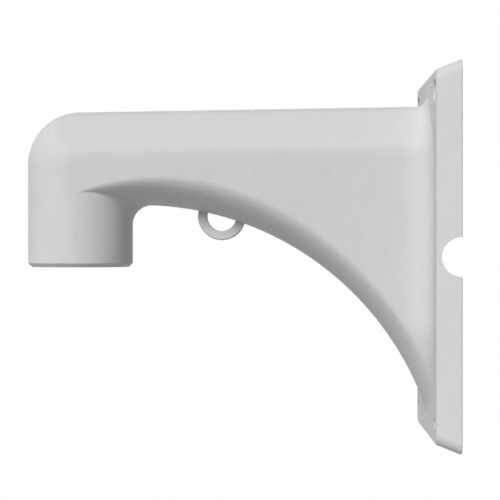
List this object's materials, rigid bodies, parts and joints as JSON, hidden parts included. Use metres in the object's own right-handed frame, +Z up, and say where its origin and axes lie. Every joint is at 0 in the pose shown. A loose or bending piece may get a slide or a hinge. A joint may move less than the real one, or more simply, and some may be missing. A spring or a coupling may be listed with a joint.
{
  "type": "camera wall bracket",
  "caption": "Hollow cast wall bracket: wall flange, arched arm and a down-turned collar with a pipe-thread bore for a hanging camera, with a small lanyard eye under the arm.",
  "frame": {"origin": "middle of the flange's back face, which lies on the wall; the same point is the centre of the four screw holes", "axes": "+Y points into the wall, so the arm runs towards -Y; +Z is up; X is across, and the cable notch is on the +X side"},
  "size_m": [0.1304, 0.26, 0.2274],
  "materials": {
    "powder_coat": "light grey matt powder coat with a very fine grain"
  },
  "bodies": {
    "root": {"bracket_casting": "powder_coat"}
  },
  "joints": []
}
